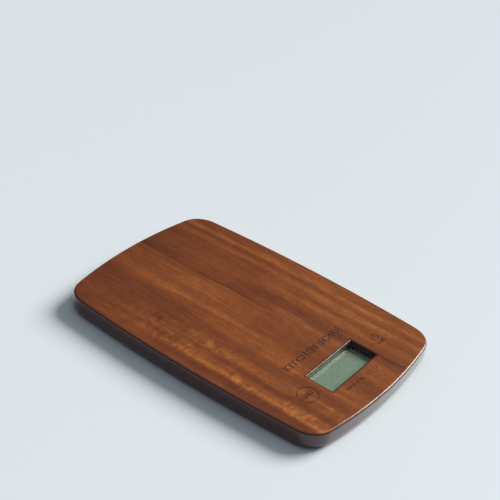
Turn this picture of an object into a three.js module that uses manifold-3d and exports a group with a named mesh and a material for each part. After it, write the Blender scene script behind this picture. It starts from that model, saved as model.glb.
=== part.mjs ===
// Slim electronic kitchen scale: a one-piece wooden slab is both the weighing platform and the casing, and
// everything else sits in pockets routed into its underside, behind a plastic base cover.
// Millimetres, +Z up, origin on the table under the centre of the plan, display end at -Y, user's right at +X.
import * as THREE from 'three';
import { mergeVertices } from 'three/addons/utils/BufferGeometryUtils.js';
import Module from 'manifold-3d';

const wasm = await Module();
wasm.setup();

// ---------------------------------------------------------------- driving dimensions
const LENGTH = 230;            // along Y, over the bows
const WIDTH = 158.5;           // along X, over the bows
const END_BOW = 8.7;           // how far the short ends bulge
const SIDE_BOW = 5.6;          // how far the long sides bulge
const CORNER_R = 18.8;
const TOP = 14.5;              // weighing surface
const WOOD_BOTTOM = 2;         // underside of the slab, held off the table by the feet
const TOP_ROUND = 1.8;         // rounding of the upper edge
const BOTTOM_ROUND = 3;        // rounding of the lower edge
const GAP = 0.05;              // between parts that lie on each other

const WINDOW = { w: 55.4, h: 21.5, r: 0.8, y: -78.3 };
const CEILING = TOP - 4.9;     // top of the routed pockets
const COVER = { inset: 5, z0: 2.2, z1: 3.5 };
const SEAT = COVER.z1 + GAP;   // step of the slab that the cover lies against

const FOOT = { x: 56.5, y: 90.5, padR: 7, cupR: 8, flangeR: 9.3, holeR: 8.6, travel: 0.4 };
const CELL = { r: 11, z0: 6, z1: 7.2 };
const CARRIER = { r: 12.4, innerR: 8.2, skirtR: 11.2, z0: 5.7 };
const CELL_POCKET_R = CARRIER.r + 0.5;

const PCB = { x: 39, y0: -94.3, y1: -62.3, z0: 4.3, z1: 5.3, ear: { x: 46, y0: -83.5, y1: -73 } };
const LCD = { w: 60, h: 27, glass: 0.8, ledge: 2.6 };
const LENS = { w: 61, h: 27.4, z1: CEILING - 0.35, t: 1 };
const FRAME_POST = { x: 34.8, y: 11.6, r: 3 };
const TOUCH = { x: 42, boreR: 6.5, boreTop: TOP - 2.2, r: 5.5 };

const BATTERY = { y: -22, r: 10, h: 3.2, z0: 3.9 };
const HOLDER = { x: 13.5, y0: -34.6, y1: -10.4, z0: 3.8, z1: 9.2, boreR: 10.4, boreTop: 7.5 };
const DOOR = { x: 11.2, y0: -37.6, hinge: { y: -7.6, z: 2.85, r: 0.8, pinR: 0.45 } };
const SIDE_SCREWS = [[66, 62], [66, 0], [64, -58]];
const END_SCREW_Y = 103;
const COVER_SCREWS = [
  ...SIDE_SCREWS.flatMap(([x, y]) => [[x, y], [-x, y]]),
  [0, END_SCREW_Y],
  [0, -END_SCREW_Y],
];
const SCREW_WELL = { bossR: 3.4, boreR: 2.3, holeR: 1.2, top: 4.9, seat: 3.9 };
const PILOT = { r: 1.1, coverTop: 9.5, postTop: 12.2 };   // blind holes in the wood for the screws
const SHANK_R = 0.95;
const SLOT_CUT = 1;            // how far a cutting shape runs past the face it opens

// ---------------------------------------------------------------- materials
function material(name, color, roughness, metalness = 0, extra = {}) {
  return new THREE.MeshStandardMaterial({ name, color, roughness, metalness, ...extra });
}
const WOOD = material('acacia', 0x7a4424, 0.35);
const BLACK_PLASTIC = material('black plastic', 0x1b1b1d, 0.55);
const WHITE_PLASTIC = material('white plastic', 0xd8d8d4, 0.5);
const CLEAR = material('clear pane', 0xe8efe9, 0.05, 0, { transparent: true, opacity: 0.35 });
const LCD_GREEN = material('reflective display', 0x76867a, 0.3);
const BOARD = material('circuit board', 0x1d5a34, 0.45);
const EPOXY = material('black epoxy', 0x0e0e10, 0.3);
const STEEL = material('stainless steel', 0xb9bbbd, 0.3, 1);
const SILICONE = material('white silicone', 0xe9e9e4, 0.6);
const RUBBER = material('grey rubber', 0x3a3b3d, 0.85);
const FOAM = material('black foam', 0x161616, 0.95);
const RED_WIRE = material('red lead', 0xa01c18, 0.5);
const BLACK_WIRE = material('black lead', 0x151515, 0.5);
const GREY_WIRE = material('grey lead', 0x8b8d90, 0.5);

// ---------------------------------------------------------------- solids
const group = new THREE.Group();

// Strips a geometry to its shared positions, so that it is one closed mesh.
function bare(geometry) {
  const flat = geometry.index ? geometry : geometry.clone();
  for (const name of Object.keys(flat.attributes)) {
    if (name !== 'position') flat.deleteAttribute(name);
  }
  return mergeVertices(flat, 1e-3);
}

function solid(geometry) {
  const g = bare(geometry);
  const vertProperties = new Float32Array(g.attributes.position.array);
  const triVerts = new Uint32Array(g.index.array);
  return new wasm.Manifold(new wasm.Mesh({ numProp: 3, vertProperties, triVerts }));
}

function geometryOf(manifold) {
  const mesh = manifold.getMesh();
  const g = new THREE.BufferGeometry();
  g.setAttribute('position', new THREE.BufferAttribute(new Float32Array(mesh.vertProperties), 3));
  g.setIndex(new THREE.BufferAttribute(new Uint32Array(mesh.triVerts), 1));
  g.computeVertexNormals();
  return g;
}

function part(name, shape, mat, parent = group) {
  const geometry = shape.isBufferGeometry ? shape : geometryOf(shape);
  const mesh = new THREE.Mesh(geometry, mat);
  mesh.name = name;
  parent.add(mesh);
  return mesh;
}

function at(geometry, x, y, z) {
  return geometry.translate(x, y, z);
}

function box(x0, x1, y0, y1, z0, z1) {
  return at(new THREE.BoxGeometry(x1 - x0, y1 - y0, z1 - z0), (x0 + x1) / 2, (y0 + y1) / 2, (z0 + z1) / 2);
}

// A round bar standing along Z.
function rod(x, y, r, z0, z1, sides = 24) {
  const g = new THREE.CylinderGeometry(r, r, z1 - z0, sides);
  return at(g.rotateX(Math.PI / 2), x, y, (z0 + z1) / 2);
}

// A round bar lying along X.
function barX(x0, x1, y, z, r, sides = 16) {
  const g = new THREE.CylinderGeometry(r, r, x1 - x0, sides);
  return at(g.rotateZ(Math.PI / 2), (x0 + x1) / 2, y, z);
}

// A turned piece: [radius, z] points in order, starting and ending on the axis or closing on themselves.
function turned(points, sides = 20) {
  const profile = points.map(([r, z]) => new THREE.Vector2(r, z));
  return new THREE.LatheGeometry(profile, sides).rotateX(Math.PI / 2);
}

function plate(shape, z0, z1, curveSegments = 6) {
  const g = new THREE.ExtrudeGeometry(shape, { depth: z1 - z0, bevelEnabled: false, curveSegments });
  return g.translate(0, 0, z0);
}

function roundedRect(w, h, r, cx = 0, cy = 0) {
  const s = new THREE.Shape();
  const [x0, x1, y0, y1] = [cx - w / 2, cx + w / 2, cy - h / 2, cy + h / 2];
  s.moveTo(x0 + r, y0);
  s.lineTo(x1 - r, y0);
  s.absarc(x1 - r, y0 + r, r, -Math.PI / 2, 0);
  s.lineTo(x1, y1 - r);
  s.absarc(x1 - r, y1 - r, r, 0, Math.PI / 2);
  s.lineTo(x0 + r, y1);
  s.absarc(x0 + r, y1 - r, r, Math.PI / 2, Math.PI);
  s.lineTo(x0, y0 + r);
  s.absarc(x0 + r, y0 + r, r, Math.PI, Math.PI * 1.5);
  return s;
}

// ---------------------------------------------------------------- plan outline
// Each end and each side is one shallow arc, and a tangent arc of CORNER_R joins them. An inset outline keeps
// the same centres with shorter radii, so outlines of different insets have matching points.
const endR = ((WIDTH / 2) ** 2 + END_BOW ** 2) / (2 * END_BOW);
const sideR = ((LENGTH / 2) ** 2 + SIDE_BOW ** 2) / (2 * SIDE_BOW);
const endCentre = new THREE.Vector2(0, LENGTH / 2 - endR);
const sideCentre = new THREE.Vector2(WIDTH / 2 - sideR, 0);

// The corner arc's centre lies where circles about the two arc centres cross, in the +X +Y quarter.
function cornerCentre() {
  const ra = endR - CORNER_R;
  const rb = sideR - CORNER_R;
  const between = sideCentre.clone().sub(endCentre);
  const d = between.length();
  const along = (ra * ra - rb * rb + d * d) / (2 * d);
  const off = Math.sqrt(ra * ra - along * along);
  const u = between.divideScalar(d);
  const base = endCentre.clone().addScaledVector(u, along);
  const side = new THREE.Vector2(-u.y, u.x).multiplyScalar(off);
  const options = [base.clone().add(side), base.clone().sub(side)];
  return options.find((p) => p.x > 0 && p.y > 0);
}
const corner = cornerCentre();
const angleEnd = Math.atan2(corner.y - endCentre.y, corner.x - endCentre.x);
const angleSide = Math.atan2(corner.y - sideCentre.y, corner.x - sideCentre.x);

function arcPoints(centre, r, a0, a1, steps) {
  const points = [];
  for (let i = 0; i < steps; i += 1) {
    const a = a0 + ((a1 - a0) * i) / steps;
    points.push(new THREE.Vector2(centre.x + r * Math.cos(a), centre.y + r * Math.sin(a)));
  }
  return points;
}

// Counter-clockwise outline, starting at the middle of the right side.
function outline(inset, steps = { side: 4, corner: 7, end: 4 }) {
  const quarter = [
    ...arcPoints(sideCentre, sideR - inset, 0, angleSide, steps.side),
    ...arcPoints(corner, CORNER_R - inset, angleSide, angleEnd, steps.corner),
    ...arcPoints(endCentre, endR - inset, angleEnd, Math.PI / 2, steps.end),
    new THREE.Vector2(0, LENGTH / 2 - inset),
  ];
  const upper = [...quarter, ...quarter.slice(0, -1).reverse().map((p) => new THREE.Vector2(-p.x, p.y))];
  const lower = upper.slice(1, -1).reverse().map((p) => new THREE.Vector2(p.x, -p.y));
  return [...upper, ...lower];
}

// Stacks outlines of given insets and heights, from the bottom up, into one closed solid.
function loft(levels) {
  const rings = levels.map(([z, inset]) => outline(inset).map((p) => [p.x, p.y, z]));
  const n = rings[0].length;
  const index = [];
  for (let k = 0; k < rings.length - 1; k += 1) {
    for (let i = 0; i < n; i += 1) {
      const j = (i + 1) % n;
      const [a, b, c, d] = [k * n + i, k * n + j, (k + 1) * n + j, (k + 1) * n + i];
      index.push(a, b, c, a, c, d);
    }
  }
  const faces = THREE.ShapeUtils.triangulateShape(outline(0), []);
  const last = (rings.length - 1) * n;
  for (const [a, b, c] of faces) {
    index.push(c, b, a);
    index.push(last + a, last + b, last + c);
  }
  const g = new THREE.BufferGeometry();
  g.setAttribute('position', new THREE.BufferAttribute(new Float32Array(rings.flat(2)), 3));
  g.setIndex(index);
  return g;
}

function outlinePlate(inset, z0, z1) {
  return loft([[z0, inset], [z1, inset]]);
}

// Levels of a slab with quarter-round lower and upper edges.
function slabLevels() {
  const levels = [];
  for (let i = 0; i <= 3; i += 1) {
    const a = (Math.PI / 2) * (i / 3);
    levels.push([WOOD_BOTTOM + BOTTOM_ROUND * (1 - Math.cos(a)), BOTTOM_ROUND * (1 - Math.sin(a))]);
  }
  for (let i = 0; i <= 2; i += 1) {
    const a = (Math.PI / 2) * (i / 2);
    levels.push([TOP - TOP_ROUND * (1 - Math.sin(a)), TOP_ROUND * (1 - Math.cos(a))]);
  }
  return levels;
}

const FEET = [
  ['front_left', -1, -1],
  ['front_right', 1, -1],
  ['rear_left', -1, 1],
  ['rear_right', 1, 1],
].map(([name, sx, sy]) => ({ name, sx, sy, x: sx * FOOT.x, y: sy * FOOT.y }));

// ---------------------------------------------------------------- wooden slab
const CHANNEL = { x: 34, halfW: 2.8, top: 7.9, rearY: FOOT.y, batteryX: 5 };
const POCKET = { w: 95, h: 35.4, r: 4 };     // around the board and the display
const BAY = { w: 36, h: 40 };                // around the battery holder
const POCKET_REAR = WINDOW.y + POCKET.h / 2;

function woodBody() {
  let wood = solid(loft(slabLevels()));
  const cut = (g) => {
    wood = wood.subtract(solid(g));
  };
  const low = WOOD_BOTTOM - SLOT_CUT;
  cut(outlinePlate(COVER.inset - 0.2, low, SEAT));
  cut(plate(roundedRect(POCKET.w, POCKET.h, POCKET.r, 0, WINDOW.y), low, CEILING));
  cut(plate(roundedRect(WINDOW.w, WINDOW.h, WINDOW.r, 0, WINDOW.y), low, TOP + SLOT_CUT, 3));
  cut(plate(roundedRect(BAY.w, BAY.h, POCKET.r, 0, BATTERY.y), low, CEILING));
  const bayFront = BATTERY.y - BAY.h / 2;
  cut(box(-CHANNEL.batteryX, CHANNEL.batteryX, POCKET_REAR - 1, bayFront + 1, low, CHANNEL.top));
  for (const foot of FEET) {
    cut(rod(foot.x, foot.y, CELL_POCKET_R, low, CEILING));
  }
  for (const side of [-1, 1]) {
    cut(rod(side * TOUCH.x, WINDOW.y, TOUCH.boreR, low, TOUCH.boreTop, 16));
    const [xa, xb] = [side * CHANNEL.x, side * FOOT.x].sort((p, q) => p - q);
    const [ya, yb] = [CHANNEL.rearY - CHANNEL.halfW, CHANNEL.rearY + CHANNEL.halfW];
    cut(box(xa - CHANNEL.halfW, xb, ya, yb, low, CHANNEL.top));
    const x = side * CHANNEL.x;
    cut(box(x - CHANNEL.halfW, x + CHANNEL.halfW, POCKET_REAR - 2, yb, low, CHANNEL.top));
  }
  for (const [x, y] of COVER_SCREWS) {
    cut(rod(x, y, SCREW_WELL.bossR + 0.25, low, SCREW_WELL.top + 0.15, 12));
    cut(rod(x, y, PILOT.r, low, PILOT.coverTop, 8));
  }
  for (const [x, y] of pcbScrewPlaces()) {
    cut(rod(x, y, PILOT.r, low, PILOT.postTop, 8));
  }
  return wood;
}

function pcbScrewPlaces() {
  const places = [];
  for (const sy of [-1, 1]) {
    for (const sx of [-1, 1]) {
      places.push([sx * FRAME_POST.x, WINDOW.y + sy * FRAME_POST.y]);
    }
  }
  return places;
}

part('wood_body', woodBody(), WOOD);

// ---------------------------------------------------------------- display
const lensZ0 = LENS.z1 - LENS.t;
const frontZ1 = lensZ0 - GAP;
const frontZ0 = frontZ1 - LCD.glass;
const rearZ1 = frontZ0 - GAP;
const rearZ0 = rearZ1 - LCD.glass;

function centredBox(w, h, z0, z1) {
  return box(-w / 2, w / 2, WINDOW.y - h / 2, WINDOW.y + h / 2, z0, z1);
}

function ringPlate(w, h, innerW, innerH, z0, z1) {
  const shape = roundedRect(w, h, 1, 0, WINDOW.y);
  shape.holes.push(roundedRect(innerW, innerH, 0.5, 0, WINDOW.y));
  return plate(shape, z0, z1, 2);
}

// Plastic frame: a wall around the glass, with four screw posts up to the wood.
function lcdFrame() {
  const z0 = PCB.z1 + GAP;
  let frame = solid(ringPlate(LCD.w + 3.4, LCD.h + 3.4, LCD.w + 0.6, LCD.h + 0.6, z0, frontZ1));
  for (const [x, y] of pcbScrewPlaces()) {
    const inner = Math.sign(x) * (LCD.w / 2 + 1.4);
    const [xa, xb] = [inner, x].sort((p, q) => p - q);
    frame = frame.add(solid(box(xa, xb, y - 1.4, y + 1.4, z0, frontZ1)));
    frame = frame.add(solid(rod(x, y, FRAME_POST.r, z0, CEILING - GAP, 12)));
  }
  for (const [x, y] of pcbScrewPlaces()) {
    frame = frame.subtract(solid(rod(x, y, 1.2, z0 - 1, CEILING + 1, 8)));
  }
  return frame;
}

part('window_lens', centredBox(LENS.w, LENS.h, lensZ0, LENS.z1), CLEAR);
part('lens_gasket', ringPlate(LENS.w, LENS.h, WINDOW.w + 1, WINDOW.h + 1, LENS.z1 + GAP, CEILING - GAP), FOAM);
part('lcd_front_glass', centredBox(LCD.w, LCD.h, frontZ0, frontZ1), LCD_GREEN);
// The rear glass is shorter, so that the front glass has a contact ledge along the user's side.
const ledgeY = WINDOW.y - LCD.h / 2 + LCD.ledge;
part('lcd_rear_glass', box(-LCD.w / 2, LCD.w / 2, ledgeY, WINDOW.y + LCD.h / 2, rearZ0, rearZ1), LCD_GREEN);
part('zebra_strip', box(-27, 27, ledgeY - 2.3, ledgeY - 0.5, PCB.z1 + GAP, frontZ0 - GAP), EPOXY);
part('lcd_frame', lcdFrame(), WHITE_PLASTIC);

// ---------------------------------------------------------------- circuit board
function boardShape() {
  const { x, y0, y1, ear } = PCB;
  const right = [[x, y0], [x, ear.y0], [ear.x, ear.y0], [ear.x, ear.y1], [x, ear.y1], [x, y1]];
  const left = right.map(([px, py]) => [-px, py]).reverse();
  return new THREE.Shape([...right, ...left].map(([px, py]) => new THREE.Vector2(px, py)));
}

function board() {
  let pcb = solid(plate(boardShape(), PCB.z0, PCB.z1));
  for (const [x, y] of pcbScrewPlaces()) {
    pcb = pcb.subtract(solid(rod(x, y, 1.2, PCB.z0 - 1, PCB.z1 + 1, 8)));
  }
  return pcb;
}

part('main_pcb', board(), BOARD);
part('chip_blob', turned([[0, -0.7], [3, -0.65], [5, -0.4], [6, 0], [0, 0]], 20).scale(1, 0.85, 1)
  .translate(0, WINDOW.y, PCB.z0 - GAP), EPOXY);

// Electrode of a touch key: a disc under the thinned wood, on a foot soldered to the board's ear.
function touchPad(side) {
  const foot = PCB.z1 + GAP;
  const top = TOUCH.boreTop - 0.1;
  const profile = [[0, foot], [2, foot], [2, foot + 0.5], [1.1, foot + 0.5], [1.1, top - 0.4],
    [TOUCH.r, top - 0.4], [TOUCH.r, top], [0, top]];
  return turned(profile, 16).translate(side * TOUCH.x, WINDOW.y, 0);
}
part('touch_pad_unit', touchPad(-1), STEEL);
part('touch_pad_tare', touchPad(1), STEEL);

// Pan-head screw, head down, [head radius, head height, shank radius].
function screw(x, y, zHead, head, zTip, shank) {
  const [r, h] = head;
  const z1 = zHead + h;
  const profile = [[0, zHead], [r * 0.75, zHead], [r, zHead + h * 0.4], [r, z1], [shank, z1], [shank, zTip - 1],
    [0, zTip]];
  return turned(profile, 10).translate(x, y, 0);
}
pcbScrewPlaces().forEach(([x, y], i) => {
  part(`pcb_screw_${i + 1}`, screw(x, y, PCB.z0 - GAP - 0.7, [1.9, 0.7], PILOT.postTop - 0.2, SHANK_R), STEEL);
});

// ---------------------------------------------------------------- battery bay
function holder() {
  const { x, y0, y1, z0, z1, boreR, boreTop } = HOLDER;
  let tray = solid(box(-x, x, y0, y1, z0, z1));
  tray = tray.subtract(solid(rod(0, BATTERY.y, boreR, z0 - 1, boreTop, 24)));
  tray = tray.subtract(solid(box(boreR - 1.5, 12.4, BATTERY.y - 3, BATTERY.y + 3, z0 - 1, boreTop)));
  return tray;
}
part('battery_holder', holder(), BLACK_PLASTIC);

const cellTop = BATTERY.z0 + BATTERY.h;
const cellProfile = [
  [0, BATTERY.z0], [9.6, BATTERY.z0], [BATTERY.r, BATTERY.z0 + 0.4], [BATTERY.r, cellTop - 0.6],
  [9.3, cellTop - 0.25], [8.6, cellTop - 0.25], [8.4, cellTop], [0, cellTop],
];
part('coin_cell', turned(cellProfile, 24).translate(0, BATTERY.y, 0), STEEL);

// Bent strip: a polyline in the X-Z plane with a thickness, extruded over a width along Y.
function strip(points, thickness, y0, y1) {
  const centre = points.map(([x, z]) => new THREE.Vector2(x, z));
  const offset = (side) => centre.map((p, i) => {
    const before = centre[i - 1] ?? p;
    const after = centre[i + 1] ?? p;
    const dirIn = p.clone().sub(before).normalize();
    const dirOut = after.clone().sub(p).normalize();
    const dir = dirIn.clone().add(dirOut).normalize();
    const isBend = i > 0 && i < centre.length - 1;
    const mitre = isBend ? 1 / Math.sqrt((1 + dirIn.dot(dirOut)) / 2) : 1;
    return new THREE.Vector2(-dir.y, dir.x).multiplyScalar((side * thickness * mitre) / 2).add(p);
  });
  const shape = new THREE.Shape([...offset(1), ...offset(-1).reverse()]);
  const g = new THREE.ExtrudeGeometry(shape, { depth: y1 - y0, bevelEnabled: false });
  return g.rotateX(Math.PI / 2).translate(0, y1, 0);
}
const negativeBend = [[-9.6, 7.3], [-5, 7.3], [-1.5, 7.24], [1.5, 7.24], [5, 7.3], [9.6, 7.3]];
part('contact_negative', strip(negativeBend, 0.2, BATTERY.y - 2.5, BATTERY.y + 2.5), STEEL);
const positiveBend = [[10.25, 4.1], [10.25, 7.1], [12, 7.1]];
part('contact_positive', strip(positiveBend, 0.25, BATTERY.y - 2, BATTERY.y + 2), STEEL);

// Door: plate with a barrel and two pins along its rear edge and a finger lip at its front edge.
function door() {
  const { x, y0, hinge } = DOOR;
  let leaf = solid(box(-x, x, y0, hinge.y, COVER.z0, COVER.z1));
  leaf = leaf.add(solid(barX(-x, x, hinge.y, hinge.z, hinge.r)));
  leaf = leaf.add(solid(barX(-x - 1.5, x + 1.5, hinge.y, hinge.z, hinge.pinR, 12)));
  leaf = leaf.add(solid(box(-3, 3, y0 + 0.1, y0 + 1.1, COVER.z1 - 0.5, COVER.z1 + 1.1)));
  for (let i = 0; i < 4; i += 1) {
    const y = y0 + 3 + i * 1.6;
    leaf = leaf.subtract(solid(box(-4.5, 4.5, y, y + 0.7, COVER.z0 - 1, COVER.z0 + 0.4)));
  }
  return leaf;
}
part('battery_door', door(), BLACK_PLASTIC);

// ---------------------------------------------------------------- base cover
function baseCover() {
  const { inset, z0, z1 } = COVER;
  let cover = solid(outlinePlate(inset, z0, z1));
  const { hinge } = DOOR;
  // Lugs beside the door opening carry the hinge pins.
  const lug = { x0: DOOR.x + 0.2, x1: DOOR.x + 2.4, halfY: 1.6, top: 4.4 };
  for (const side of [-1, 1]) {
    const [xa, xb] = [side * lug.x0, side * lug.x1].sort((p, q) => p - q);
    cover = cover.add(solid(box(xa, xb, hinge.y - lug.halfY, hinge.y + lug.halfY, z0 + 0.1, lug.top)));
  }
  for (const [x, y] of COVER_SCREWS) {
    cover = cover.add(solid(rod(x, y, SCREW_WELL.bossR, z0 + 0.1, SCREW_WELL.top, 12)));
  }
  cover = cover.subtract(solid(box(-DOOR.x - 0.2, DOOR.x + 0.2, DOOR.y0 - 0.3, hinge.y + 1, z0 - 1, z1 + 3)));
  cover = cover.subtract(solid(barX(-DOOR.x - 1.8, DOOR.x + 1.8, hinge.y, hinge.z, hinge.pinR + 0.06, 12)));
  for (const foot of FEET) {
    cover = cover.subtract(solid(rod(foot.x, foot.y, FOOT.holeR, z0 - 1, z1 + 1)));
  }
  for (const [x, y] of COVER_SCREWS) {
    cover = cover.subtract(solid(rod(x, y, SCREW_WELL.boreR, z0 - 1, SCREW_WELL.seat, 12)));
    cover = cover.subtract(solid(rod(x, y, SCREW_WELL.holeR, z0 - 1, SCREW_WELL.top + 1, 8)));
  }
  return cover;
}
part('base_cover', baseCover(), BLACK_PLASTIC);
COVER_SCREWS.forEach(([x, y], i) => {
  const tip = PILOT.coverTop - 0.5;
  part(`cover_screw_${i + 1}`, screw(x, y, SCREW_WELL.seat - GAP - 1.2, [2.1, 1.2], tip, SHANK_R), STEEL);
});

// ---------------------------------------------------------------- weighing feet
// Steel disc with a C-shaped slot: the outer ring is carried, and the tongue in the middle takes the load.
function loadCell(angle) {
  const shape = new THREE.Shape();
  shape.absarc(0, 0, CELL.r, 0, Math.PI * 2);
  const slot = new THREE.Path();
  const open = Math.PI * 0.82;
  slot.absarc(0, 0, 7.4, Math.PI - open, Math.PI + open, false);
  slot.absarc(0, 0, 6, Math.PI + open, Math.PI - open, true);
  slot.closePath();
  shape.holes.push(slot);
  return plate(shape, CELL.z0, CELL.z1, 10).rotateZ(angle);
}

// Plastic carrier, an L-section ring that holds the disc's edge under the wood; its hollow clears the tongue.
function carrier(inward) {
  const { r, innerR, skirtR, z0 } = CARRIER;
  const step = CELL.z1 + GAP;
  const roof = CEILING - GAP;
  const profile = [[skirtR, z0], [r, z0], [r, roof], [innerR, roof], [innerR, step], [skirtR, step], [skirtR, z0]];
  const [xa, xb] = [inward * (skirtR - 1), inward * (r + 1)].sort((p, q) => p - q);
  const leadNotch = box(xa, xb, -2.6, 2.6, z0 - 1, step);
  return solid(turned(profile)).subtract(solid(leadNotch));
}

// Cup that slides in the cover's hole, with a stud up to the tongue and a recess for the rubber pad.
const cupFloor = 2.45;
const studTop = CELL.z0 - FOOT.travel - 0.05;
function cup() {
  const lip = COVER.z1 + 0.25;
  const recess = FOOT.padR + 0.2;
  return turned([
    [0, cupFloor], [recess, cupFloor], [recess, 1.3], [FOOT.cupR, 1.3], [FOOT.cupR, lip], [FOOT.flangeR, lip],
    [FOOT.flangeR, lip + 0.6], [3, lip + 0.6], [2.6, studTop], [0, studTop],
  ]);
}

function pad() {
  return turned([[0, 0], [6.2, 0], [FOOT.padR, 0.8], [FOOT.padR, cupFloor - GAP], [0, cupFloor - GAP]]);
}

// A lead: a section of the given width and thickness with rounded sides, swept along its route. The three cores
// of a cell lead lie side by side, so it is wider than it is thick.
function lead(points, width, thickness) {
  const section = new THREE.Shape();
  const sides = 8;
  for (let i = 0; i < sides; i += 1) {
    const a = (Math.PI * 2 * (i + 0.5)) / sides;
    const [x, y] = [(width / 2) * Math.cos(a), (thickness / 2) * Math.sin(a)];
    if (i === 0) section.moveTo(x, y);
    else section.lineTo(x, y);
  }
  section.closePath();
  const path = new THREE.CatmullRomCurve3(points.map((p) => new THREE.Vector3(...p)), false, 'centripetal');
  const steps = Math.max(6, Math.min(24, Math.round(path.getLength() / 4)));
  return new THREE.ExtrudeGeometry(section, { steps, extrudePath: path, bevelEnabled: false });
}

const PAD_Z = 4.8;             // the leads end against the board's edge at this height

function leadRoute(foot) {
  const z = 5.05;
  const start = FOOT.x - CELL.r - 0.4;
  const frontRoute = [[start, -FOOT.y, 6.55], [43.6, -90.3, 6.2], [41.8, -89.6, 5.4], [PCB.x + 0.4, -89, PAD_Z]];
  const rearRoute = [
    [start, FOOT.y, 6.55], [43, FOOT.y, 6.1], [40, FOOT.y, 5.2], [36.6, 90, z], [34.5, 88, z],
    [CHANNEL.x, 84.5, z], [CHANNEL.x, 40, z], [CHANNEL.x, -40, z], [CHANNEL.x, -58, z],
    [CHANNEL.x, PCB.y1 + 0.35, PAD_Z],
  ];
  const route = foot.sy < 0 ? frontRoute : rearRoute;
  return route.map(([x, y, pz]) => [foot.sx * x, y, pz]);
}

for (const foot of FEET) {
  const place = new THREE.Group();
  place.position.set(foot.x, foot.y, 0);
  group.add(place);
  const inward = -foot.sx;
  part(`load_cell_${foot.name}`, loadCell(inward > 0 ? 0 : Math.PI), STEEL, place);
  const coating = turned([[0, 0], [2.2, 0], [1.8, 0.45], [0, 0.6]], 12).scale(1, 1.5, 1);
  part(`gauge_coating_${foot.name}`, coating.translate(inward * 5.2, 0, CELL.z1 + GAP), SILICONE, place);
  part(`cell_carrier_${foot.name}`, carrier(inward), BLACK_PLASTIC, place);
  part(`foot_cup_${foot.name}`, cup(), BLACK_PLASTIC, place);
  part(`foot_pad_${foot.name}`, pad(), RUBBER, place);
  part(`cell_lead_${foot.name}`, lead(leadRoute(foot), 2.6, 1), GREY_WIRE);
}

function batteryLead(x) {
  const z = 4.9;
  const route = [
    [x * 1.6, HOLDER.y0 - 0.3, z], [x * 1.4, -40, z], [x, -48, z], [x, -56, z], [x * 1.1, PCB.y1 + 0.35, PAD_Z],
  ];
  return lead(route, 1.2, 1.2);
}
part('battery_lead_plus', batteryLead(2.4), RED_WIRE);
part('battery_lead_minus', batteryLead(-2.4), BLACK_WIRE);

export default group;
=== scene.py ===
# %% [markdown]
# # A slim kitchen scale of lacquered wood
# The real scale is one piece of wood about 230 mm long, routed hollow from below. The wood is the weighing
# platform and the casing at once: a clear pane sits at the bottom of a small window, two touch keys and
# some lettering are burnt into the top, and a plastic plate with four sprung feet closes the underside. The
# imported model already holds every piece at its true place, so this lesson loads it and then gives each
# piece the fine shape and the finish that a real one has.

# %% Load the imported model
import math

import bmesh
import bpy
from mathutils import Matrix, Vector


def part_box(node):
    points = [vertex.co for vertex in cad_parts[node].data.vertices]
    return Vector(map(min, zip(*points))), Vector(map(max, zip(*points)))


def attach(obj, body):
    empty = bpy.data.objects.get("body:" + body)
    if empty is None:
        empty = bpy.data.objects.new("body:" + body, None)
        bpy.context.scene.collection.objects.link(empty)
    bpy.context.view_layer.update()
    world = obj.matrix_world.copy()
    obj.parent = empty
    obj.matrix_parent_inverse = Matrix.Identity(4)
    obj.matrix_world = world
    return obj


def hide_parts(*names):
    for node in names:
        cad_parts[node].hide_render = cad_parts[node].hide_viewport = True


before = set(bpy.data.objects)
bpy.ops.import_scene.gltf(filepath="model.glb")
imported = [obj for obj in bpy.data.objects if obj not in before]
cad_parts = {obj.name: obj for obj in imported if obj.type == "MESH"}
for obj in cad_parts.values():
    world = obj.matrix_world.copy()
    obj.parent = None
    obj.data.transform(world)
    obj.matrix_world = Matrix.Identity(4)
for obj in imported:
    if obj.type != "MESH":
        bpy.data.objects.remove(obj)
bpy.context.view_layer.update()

scene = bpy.context.scene
MM = 0.001
FEET = ("front_left", "front_right", "rear_left", "rear_right")

# %% [markdown]
# ## Camera
# A small object on a table is usually seen from some distance through a long lens, so that its parallel
# edges stay nearly parallel. A camera can be aimed with a Track To constraint, but here it is also rolled a
# little, so its matrix is built from the direction it looks in: an azimuth, an elevation and a roll about
# the line of sight.

# %% Camera above the front left corner
TARGET = Vector((0.064757, 0.049281, 0.0145))
AZIMUTH, ELEVATION, ROLL = (math.radians(a) for a in (-57.864, 33.607, 8.635))
DISTANCE = 0.93349

turn = Matrix.Rotation(AZIMUTH, 4, "Z") @ Matrix.Rotation(math.pi / 2 - ELEVATION, 4, "X")
roll = Matrix.Rotation(ROLL, 4, "Z")
camera_data = bpy.data.cameras.new("table camera")
camera_data.lens = 88.05
camera_data.sensor_width = 36
camera_data.clip_start = 0.01
camera = bpy.data.objects.new("table camera", camera_data)
camera.matrix_world = Matrix.Translation(TARGET) @ turn @ roll @ Matrix.Translation((0, 0, DISTANCE))
scene.collection.objects.link(camera)
scene.camera = camera
print("camera at", [round(v, 4) for v in camera.matrix_world.translation])

# %% [markdown]
# ## Helpers for shader nodes
# A shader is a chain of small steps. Written out in full, each step takes four or five lines, so a few
# short helpers add a node, set or link its inputs by name, and hand back the output that the next step
# needs.

# %% Node helpers
def fill(tree, node, values):
    """Fills a node's inputs, by name or number, from values or from other nodes' outputs."""
    for name, value in values.items():
        if isinstance(value, bpy.types.NodeSocket):
            tree.links.new(value, node.inputs[name])
        else:
            node.inputs[name].default_value = value


def put(tree, kind, values=None, **settings):
    """Adds a node, applies settings and fills its inputs."""
    node = tree.nodes.new(kind)
    for name, value in settings.items():
        setattr(node, name, value)
    fill(tree, node, values or {})
    return node


def calc(tree, operation, a, b=0.0, clamp=False):
    return put(tree, "ShaderNodeMath", {0: a, 1: b}, operation=operation, use_clamp=clamp).outputs[0]


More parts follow.
